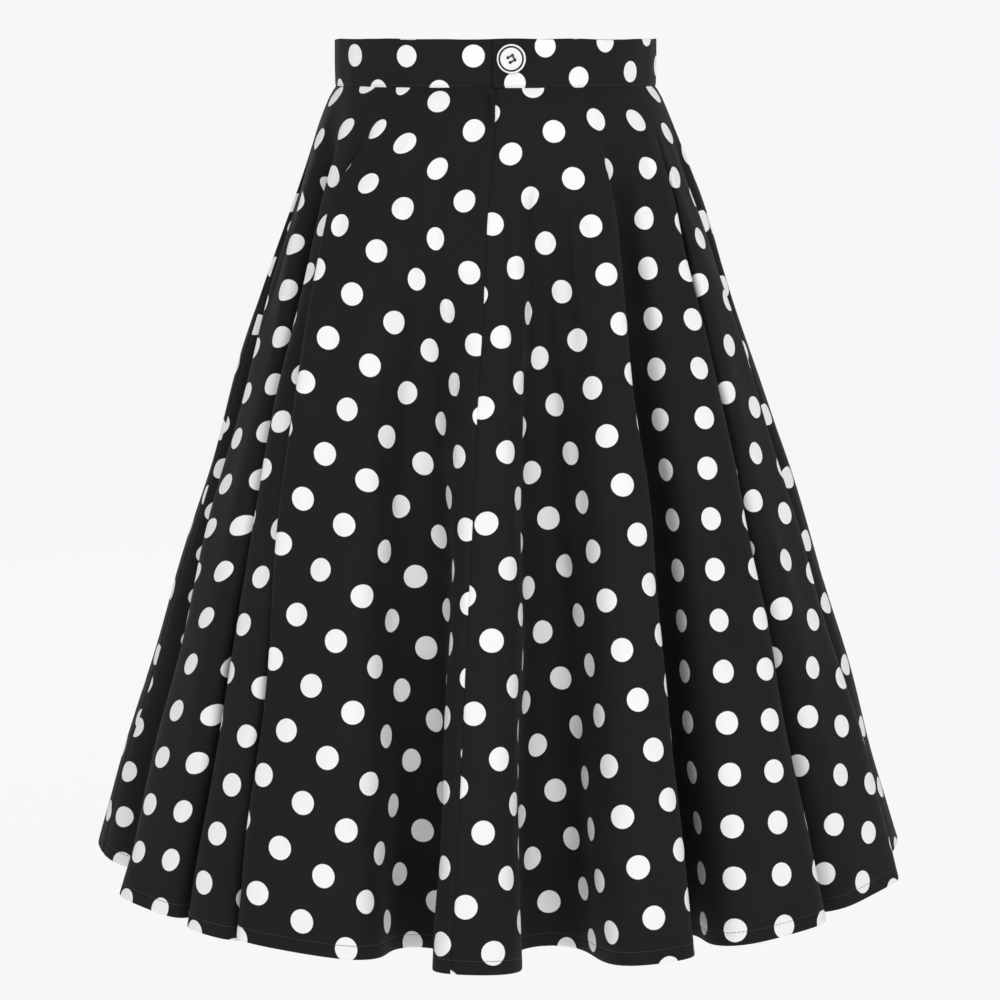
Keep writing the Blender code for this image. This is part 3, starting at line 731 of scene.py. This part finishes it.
def makeBand():
    half = band["height"] / 2
    wall = band["wall"]
    edge = band["edge"]
    outerFace = [(0.0, z) for z in np.linspace(-half + edge, half - edge, 16)]
    innerFace = [(wall, z) for z in np.linspace(half - edge, -half + edge, 6)]
    corner = [(edge * (1 - cos(a)), half - edge + edge * sin(a)) for a in np.radians((30, 60, 90))]
    topEdge = corner + [(wall - x, z) for x, z in corner[::-1]]
    bottomEdge = [(wall - x, -z) for x, z in corner] + [(x, -z) for x, z in corner[::-1]]
    profile = np.array(outerFace + topEdge + innerFace + bottomEdge)
    fromStitch = profile[:, 1] + half - band["stitchHeight"]
    depth, reach = band["groove"]
    groove = depth * np.exp(-(fromStitch / reach) ** 2) * (profile[:, 0] < wall / 2)
    first = band["underlapEnd"]
    last = band["lapEnd"] - waistGirth
    arcs = np.linspace(first, last, band["sections"])
    arcGrid, depthGrid = np.meshgrid(arcs, profile[:, 0] + groove, indexing="ij")
    heightGrid = np.broadcast_to(profile[:, 1], arcGrid.shape)
    ends = np.minimum(np.abs(arcGrid - first), np.abs(arcGrid - last))
    pinch = 0.5 * np.clip(1 - ends / band["endRound"], 0, 1) ** 2
    depthGrid = depthGrid + (wall / 2 - depthGrid) * pinch
    points = bandPoint(arcGrid, heightGrid, depthGrid)
    uv = bandUv(arcGrid, heightGrid).reshape(-1, 2)
    rows, columns = arcGrid.shape
    faces = []
    for r in range(rows - 1):
        for c in range(columns):
            after = (c + 1) % columns
            upper, lower = r * columns, (r + 1) * columns
            faces.append((upper + c, upper + after, lower + after, lower + c))
    faces.append(tuple(range(columns)))
    faces.append(tuple(range((rows - 1) * columns, rows * columns)))
    piece = makeMesh("waistbandCloth", points.reshape(-1, 3), faces, uv, (cottonFace,))
    faceOutwards(piece)
    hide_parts("waistband")
    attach(piece, "skirt")


makeBand()
print("waistband made")


# stitches: one short rounded stitch, copied along each row of sewing

stitch = {
    "rings": [(-0.5, 0.30, -0.25), (-0.30, 0.95, 0.35), (0.0, 1.0, 0.55),
              (0.30, 0.95, 0.35), (0.5, 0.30, -0.25)],     # place, width and rise
    "sides": 6,
    "flatness": 0.8,
    "length": 0.0024,
    "pitch": 0.0031,
    "thick": 0.00038,
    "sunk": 0.00030,
    "bandLength": 0.0021,
    "bandPitch": 0.0028,
    "bandThick": 0.00036,
    "bandSunk": 0.00018,
    "bandFirst": -0.020,
    "bandInset": 0.0015,
}


def stitchMesh(name, centres, alongs, ups, length, thick):
    rings, sides = stitch["rings"], stitch["sides"]
    alongs = unit(alongs)
    asides = unit(np.cross(ups, alongs))
    blocks = []
    for place, width, rise in rings:
        for k in range(sides):
            turn = 2 * pi * k / sides
            radius = thick / 2 * width
            blocks.append(centres + alongs * (place * length) + asides * (radius * cos(turn))
                          + ups * (radius * sin(turn) * stitch["flatness"] + rise * thick * 0.5))
    points = np.stack(blocks, axis=1)
    each = len(rings) * sides
    faces = []
    template = []
    for r in range(len(rings) - 1):
        for k in range(sides):
            after = (k + 1) % sides
            here, there = r * sides, (r + 1) * sides
            template.append((here + k, there + k, there + after, here + after))
    template.append(tuple(range(sides)))
    template.append(tuple(range(each - 1, each - sides - 1, -1)))
    for n in range(len(centres)):
        faces.extend(tuple(n * each + i for i in face) for face in template)
    piece = makeMesh(name, points.reshape(-1, 3), faces, None, (thread,))
    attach(piece, "skirt")


def hemStitches():
    length = clothLength - panels["hemTurn"]
    girth = 2 * pi * (cutRadius + length)
    count = int(girth / stitch["pitch"])
    angles = (np.arange(count) + 0.5) * 360 / count
    half = np.degrees(stitch["length"] / 2 / (cutRadius + length))
    lengths = np.full(count, length)
    centre, facing = clothSurface(lengths, angles)
    before = clothSurface(lengths, angles - half)[0]
    after = clothSurface(lengths, angles + half)[0]
    stitchMesh("hemStitches", centre - facing * stitch["sunk"], after - before, facing,
               stitch["length"], stitch["thick"])


def bandStitches():
    first, last = stitch["bandFirst"], band["lapEnd"] - waistGirth + stitch["bandInset"]
    count = int((first - last) / stitch["bandPitch"])
    arcs = first + (last - first) * (np.arange(count) + 0.5) / count
    height = np.full(count, -band["height"] / 2 + band["stitchHeight"])
    centre = bandPoint(arcs, height, stitch["bandSunk"])
    along = bandPoint(arcs - 0.001, height) - bandPoint(arcs + 0.001, height)
    facing = ovalFacing(arcs)
    up = np.stack([np.sin(facing), -np.cos(facing), np.zeros(count)], axis=-1)
    stitchMesh("bandStitches", centre, along, up, stitch["bandLength"], stitch["bandThick"])


hemStitches()
bandStitches()
print("stitches made")


# the button and its thread

buttonSet = {
    "arc": 0.0120,
    "height": 0.0036,
    "radius": 0.0110,
    "thick": 0.0030,
    "ringInner": 0.00825,
    "ringOuter": 0.00970,
    "holeReach": 0.0028,
    "holeRadius": 0.0012,
    "turn": 72,
    "proud": 0.0003,
    "rimWidth": 0.0004,
    "rings": [(0.0014, 0.0), (0.0003, 0.00042), (0.0008, 0.0),  # inset and drop, from the rim
              (0.0003, -0.00020), (0.0024, 0.00028), (0.0030, 0.00022)],
    "threads": [(1, 0), (0, 3), (3, 2)],                        # from hole to hole
    "strands": (-0.00042, -0.00014, 0.00014, 0.00042),
    "strandHeight": 0.72,                                       # a share of the thickness
    "strandRadius": 0.00019,
    "strandRise": 0.0008,
    "strandDip": 0.0014,
}
buttonFacing = float(ovalFacing(buttonSet["arc"]))
buttonXY = ovalPoint(buttonSet["arc"], band["proud"] + buttonSet["proud"])
buttonPlace = (Matrix.Translation((buttonXY[0], buttonXY[1], buttonSet["height"]))
               @ Matrix.Rotation(buttonFacing, 4, "Z") @ Matrix.Rotation(pi / 2, 4, "X"))


def buttonMaterial():
    # white gloss plastic with a black ring let into the rim
    material, tree, shader = newMaterial("buttonWhite")
    place = objectPlace(tree)
    centred = vectorNode(tree, "SUBTRACT", place, (buttonXY[0], 0, buttonSet["height"]))
    reach = vectorNode(tree, "LENGTH", vectorNode(tree, "MULTIPLY", centred, (1, 0, 1)))
    inner = mathNode(tree, "GREATER_THAN", reach, buttonSet["ringInner"])
    outer = mathNode(tree, "LESS_THAN", reach, buttonSet["ringOuter"])
    ring = mathNode(tree, "MULTIPLY", inner, outer)
    cloud = noiseNode(tree, place, 260, 3)
    white = mixColour(tree, cloud, (0.63, 0.62, 0.615), (0.73, 0.715, 0.715))
    fine = noiseNode(tree, place, 900, 2)
    feed(tree, shader, {
        "Base Color": mixColour(tree, ring, white, (0.004, 0.004, 0.005)),
        "Roughness": mathNode(tree, "MULTIPLY_ADD", fine, 0.10, 0.28),
        "Specular IOR Level": 0.30,
    })
    return material


def deselectAll():
    if bpy.context.object and bpy.context.object.mode != "OBJECT":
        bpy.ops.object.mode_set(mode="OBJECT")
    bpy.ops.object.select_all(action="DESELECT")


def selectOnly(piece):
    deselectAll()
    piece.select_set(True)
    bpy.context.view_layer.objects.active = piece


def applyModifiers(piece):
    selectOnly(piece)
    for modifier in list(piece.modifiers):
        bpy.ops.object.modifier_apply(modifier=modifier.name)


def makeButton():
    thick, reach = buttonSet["thick"], buttonSet["holeReach"]
    deselectAll()
    bpy.ops.mesh.primitive_cylinder_add(
        vertices=72, radius=buttonSet["radius"], depth=thick, location=(0, 0, thick / 2))
    piece = bpy.context.object
    bpy.ops.object.transform_apply(location=True, rotation=True, scale=True)
    bpy.ops.object.mode_set(mode="EDIT")
    bpy.ops.mesh.select_mode(type="FACE")
    bpy.ops.mesh.select_all(action="DESELECT")
    bm = bmesh.from_edit_mesh(piece.data)
    for face in bm.faces:
        face.select = face.normal.z > 0.9
    bmesh.update_edit_mesh(piece.data)
    # a rounded rim, the ring's shallow channel, and a dished middle
    for inset, drop in buttonSet["rings"]:
        bpy.ops.mesh.inset(thickness=inset, depth=0)
        bpy.ops.transform.translate(value=(0, 0, -drop))
    bpy.ops.object.mode_set(mode="OBJECT")
    bevel = piece.modifiers.new("rim", "BEVEL")
    bevel.width = buttonSet["rimWidth"]
    bevel.segments = 3
    bevel.limit_method = "ANGLE"
    bevel.angle_limit = radians(35)
    applyModifiers(piece)
    for k in range(4):
        turn = radians(buttonSet["turn"] + 90 * k)
        deselectAll()
        bpy.ops.mesh.primitive_cylinder_add(
            vertices=28, radius=buttonSet["holeRadius"], depth=4 * thick,
            location=(reach * cos(turn), reach * sin(turn), thick / 2))
        cutter = bpy.context.object
        modifier = piece.modifiers.new("hole", "BOOLEAN")
        modifier.operation = "DIFFERENCE"
        modifier.object = cutter
        applyModifiers(piece)
        bpy.data.objects.remove(cutter, do_unlink=True)
    piece.name = piece.data.name = "buttonDisc"
    piece.data.transform(buttonPlace)
    piece.data.materials.clear()
    piece.data.materials.append(buttonMaterial())
    selectOnly(piece)
    bpy.ops.object.shade_smooth_by_angle(angle=radians(40))
    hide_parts("button")
    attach(piece, "skirt")


def tubeMesh(name, paths, radius, sides, material, body):
    # round strands along short paths of points, each closed at its ends
    points, faces = [], []
    for path in paths:
        path = np.asarray(path, dtype=float)
        tangent = unit(np.gradient(path, axis=0))
        side = unit(np.cross(tangent[0], (0.123, 0.456, 0.88)))     # any way that no strand runs
        first = len(points)
        last = first + (len(path) - 1) * sides
        for place, along in zip(path, tangent):
            side = unit(side - along * np.dot(side, along))
            other = np.cross(along, side)
            for k in range(sides):
                turn = 2 * pi * k / sides
                points.append(place + radius * (cos(turn) * side + sin(turn) * other))
        for here in range(first, last, sides):
            there = here + sides
            for k in range(sides):
                after = (k + 1) % sides
                faces.append((here + k, here + after, there + after, there + k))
        faces.append(tuple(first + sides - 1 - k for k in range(sides)))
        faces.append(tuple(last + k for k in range(sides)))
    piece = makeMesh(name, points, faces, None, (material,))
    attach(piece, body)


def makeButtonThread():
    # strands over three sides of the square of holes, each going down into its holes
    top = buttonSet["thick"] * buttonSet["strandHeight"]
    reach = buttonSet["holeReach"]
    strands = []
    for start, end in buttonSet["threads"]:
        turns = [radians(buttonSet["turn"] + 90 * k) for k in (start, end)]
        ends = [np.array([reach * cos(turn), reach * sin(turn)]) for turn in turns]
        along = unit(ends[1] - ends[0])
        aside = np.array([-along[1], along[0]])
        for beside in buttonSet["strands"]:
            path = []
            for part in np.linspace(0, 1, 13):
                place = ends[0] + (ends[1] - ends[0]) * part + aside * beside
                lift = top + buttonSet["strandRise"] * sin(pi * part) ** 0.5
                lift -= buttonSet["strandDip"] * (part in (0.0, 1.0))
                path.append(buttonPlace @ Vector((place[0], place[1], lift)))
            strands.append(path)
    tubeMesh("buttonThread", strands, buttonSet["strandRadius"], 8, thread, "skirt")


buttonhole = {
    "ends": (-0.004, 0.0160),       # along the band from the button's middle
    "below": 0.0012,
    "slit": 0.00035,
    "halfWidth": 0.0016,
    "lean": 0.0001,
    "rises": (0.00005, 0.00028, 0.00028, 0.00002),      # off the band, from the slit outwards
    "stitches": 40,
    "barLength": 0.0011,
    "barHalf": 0.0015,
    "barRise": 0.00025,
    "barStrands": 9,
    "strandRadius": 0.00017,
}


def makeButtonhole():
    # a stitched slit in the lap, whose far end shows beside the button
    strands = []
    first, last = [buttonSet["arc"] + end for end in buttonhole["ends"]]
    height = buttonSet["height"] - buttonhole["below"]
    count = buttonhole["stitches"]
    for k in range(count):
        arc = first + (last - first) * k / (count - 1)
        for side in (-1, 1):
            low = np.array([arc]), np.array([height + side * buttonhole["slit"]])
            high = (np.array([arc + buttonhole["lean"]]),
                    np.array([height + side * buttonhole["halfWidth"]]))
            strands.append([bandPoint(*place, -rise)[0]
                            for place, rise in zip((low, low, high, high), buttonhole["rises"])])
    for part in np.linspace(-1, 1, buttonhole["barStrands"]):
        arcs = np.array([last, last + buttonhole["barLength"]])
        heights = np.full(2, height + part * buttonhole["barHalf"])
        strands.append(list(bandPoint(arcs, heights, -buttonhole["barRise"])))
    tubeMesh("buttonholeStitches", strands, buttonhole["strandRadius"], 6, thread,
             "skirt")


makeButton()
makeButtonThread()
makeButtonhole()
print("button made")


# the concealed zip: tapes and coil inside, slider and pull outside

zipSet = {
    "width": 0.024,
    "wall": 0.0007,
    "gap": 0.0004,
    "top": 0.004,
    "bottom": 0.190,
    "seamRoll": 0.003,
    "ribFold": 0.002,
    "ribPitch": 0.0008,
    "toothPitch": 0.0015,
    "toothRadius": 0.00032,
    "toothFirst": 0.004,
    "toothLast": 0.010,
    "toothArcs": (0.0019, 0.0008, -0.0002, 0.0008, 0.0019),     # one loop of the coil
    "toothSteps": (-0.0002, -0.0001, 0.0002, 0.0004, 0.0005),
    "toothRises": (0.0002, 0.0006, 0.0008, 0.0006, 0.0002),
}


def zipMetal():
    material, tree, shader = newMaterial("blackEnamel")
    place = objectPlace(tree)
    cloud = noiseNode(tree, place, 700, 3)
    worn = noiseNode(tree, place, 90, 4)
    feed(tree, shader, {
        "Base Color": mixColour(tree, cloud, (0.003, 0.003, 0.0035), (0.010, 0.0095, 0.0105)),
        "Roughness": mathNode(tree, "MULTIPLY_ADD", worn, 0.20, 0.20),
        "Specular IOR Level": 0.22,
    })
    return material


def tapeMaterial():
    # woven tape with a fine herringbone rib
    material, tree, shader = newMaterial("zipTape")
    parts = splitNode(tree, tree.nodes.new("ShaderNodeUVMap").outputs["UV"])
    folded = mathNode(tree, "PINGPONG", parts[0], zipSet["ribFold"])
    lean = mathNode(tree, "ADD", folded, parts[1])
    rib = mathNode(tree, "SINE", mathNode(tree, "MULTIPLY", lean, 2 * pi / zipSet["ribPitch"]))
    shade = mathNode(tree, "MULTIPLY_ADD", rib, 0.4, 0.5)
    colour = mixColour(tree, shade, (0.007, 0.007, 0.008), (0.020, 0.020, 0.022))
    addBump(tree, shader, rib, 0.6, 0.0001)
    feed(tree, shader, {"Base Color": colour, "Roughness": 0.8, "Sheen Weight": 0.2})
    return material


def makeTape():
    lengths = np.linspace(zipSet["top"], zipSet["bottom"], 96)
    across = np.linspace(-zipSet["width"] / 2, zipSet["width"] / 2, 25)
    lengthGrid, acrossGrid = np.meshgrid(lengths, across, indexing="ij")
    angleGrid = np.degrees(acrossGrid / (cutRadius + lengthGrid))
    surface, facing = clothSurface(lengthGrid, angleGrid)
    seamRoll = panels["seamRoll"][0]
    inset = panels["wall"] + seamRoll * np.exp(-(acrossGrid / zipSet["seamRoll"]) ** 2)
    inset += zipSet["gap"]
    outer = surface - facing * inset[..., None]
    inner = surface - facing * (inset + zipSet["wall"])[..., None]
    uv = np.stack([acrossGrid, lengthGrid], axis=-1)
    tape = tapeMaterial()
    piece = sheetMesh("zipTapeCloth", outer, inner, uv, (tape, tape))
    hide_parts("zip_tape")
    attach(piece, "skirt")
    teeth = []
    count = int((zipSet["bottom"] - zipSet["top"] - zipSet["toothLast"]) / zipSet["toothPitch"])
    rises = np.array(zipSet["toothRises"])
    depth = panels["wall"] + seamRoll + zipSet["gap"] + zipSet["wall"] + rises
    for k in range(count):
        length = zipSet["top"] + zipSet["toothFirst"] + k * zipSet["toothPitch"]
        for side in (-1, 1):
            steps = np.array(zipSet["toothSteps"]) + (zipSet["toothPitch"] / 2 if side > 0 else 0)
            angles = np.degrees(side * np.array(zipSet["toothArcs"]) / (cutRadius + length))
            points, away = clothSurface(length + steps, angles)
            teeth.append(points - away * depth[:, None])
    tubeMesh("zipCoil", teeth, zipSet["toothRadius"], 6, enamel, "skirt")


enamel = zipMetal()
for nodeName in ("zip_slider", "pull_tab"):
    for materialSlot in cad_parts[nodeName].material_slots:
        materialSlot.material = enamel
makeTape()
print("zip made")


# floor, light and camera

studio = {
    "floorHeight": -1.05,
    "floorSize": 60,
    "floorColour": (0.05, 0.05, 0.0505),
    "floorCloud": 0.985,
    "floorGlow": 0.893,
    "worldRise": (0.18, 0.75),      # how far up the sky darkens, and its strength below and above
    "worldStrength": (0.93, 0.10),
    "cameraPlace": (0.0036, -1.85, 0.0187),
    "cameraTilt": 11.51,
    "lens": 81.58,
    "lightAim": (0, 0, -0.35),
    "lights": [  # name, x, y, z, size, power
        ("keyLight", 1.1, -2.6, 0.9, 1.5, 42),
        ("fillLight", -1.5, -2.4, 0.3, 1.8, 17),
        ("topLight", 0.0, -0.9, 2.4, 2.2, 13),
        ("rearLight", -0.6, 2.8, 0.9, 1.8, 24),
    ],
}


def makeFloor():
    deselectAll()
    bpy.ops.mesh.primitive_plane_add(
        size=studio["floorSize"], location=(0, 0, studio["floorHeight"]))
    floor = bpy.context.object
    floor.name = "floor"
    material, tree, shader = newMaterial("paleFloor")
    low = tuple(studio["floorCloud"] * c for c in studio["floorColour"])
    cloud = noiseNode(tree, objectPlace(tree), 1.5, 2)
    feed(tree, shader, {
        "Base Color": mixColour(tree, cloud, low, studio["floorColour"]),
        "Roughness": 0.9,
        "Specular IOR Level": 0.1,
        "Emission Color": (1, 1, 1, 1),
        "Emission Strength": studio["floorGlow"],
    })
    floor.data.materials.append(material)


def makeLights():
    world = bpy.data.worlds.new("studioWorld")
    world.use_nodes = True
    tree = world.node_tree
    upward = splitNode(tree, tree.nodes.new("ShaderNodeTexCoord").outputs["Generated"])[2]
    strength = easeNode(tree, upward, *studio["worldRise"], *studio["worldStrength"])
    feed(tree, tree.nodes["Background"], {"Color": (1, 1, 1, 1), "Strength": strength})
    bpy.context.scene.world = world
    for name, x, y, z, size, power in studio["lights"]:
        light = bpy.data.lights.new(name, "AREA")
        light.shape = "SQUARE"
        light.size = size
        light.energy = power
        lamp = bpy.data.objects.new(name, light)
        lamp.location = (x, y, z)
        aim = Vector(studio["lightAim"]) - lamp.location
        lamp.rotation_euler = aim.to_track_quat("-Z", "Y").to_euler()
        bpy.context.scene.collection.objects.link(lamp)


def makeCamera():
    data = bpy.data.cameras.new("camera")
    data.lens = studio["lens"]
    data.sensor_width = 36
    data.dof.use_dof = False
    camera = bpy.data.objects.new("camera", data)
    camera.location = studio["cameraPlace"]
    camera.rotation_euler = (radians(90 - studio["cameraTilt"]), 0, 0)
    bpy.context.scene.collection.objects.link(camera)
    bpy.context.scene.camera = camera


makeFloor()
makeLights()
makeCamera()
bpy.context.scene.view_settings.view_transform = "Standard"
print("floor, light and camera made")
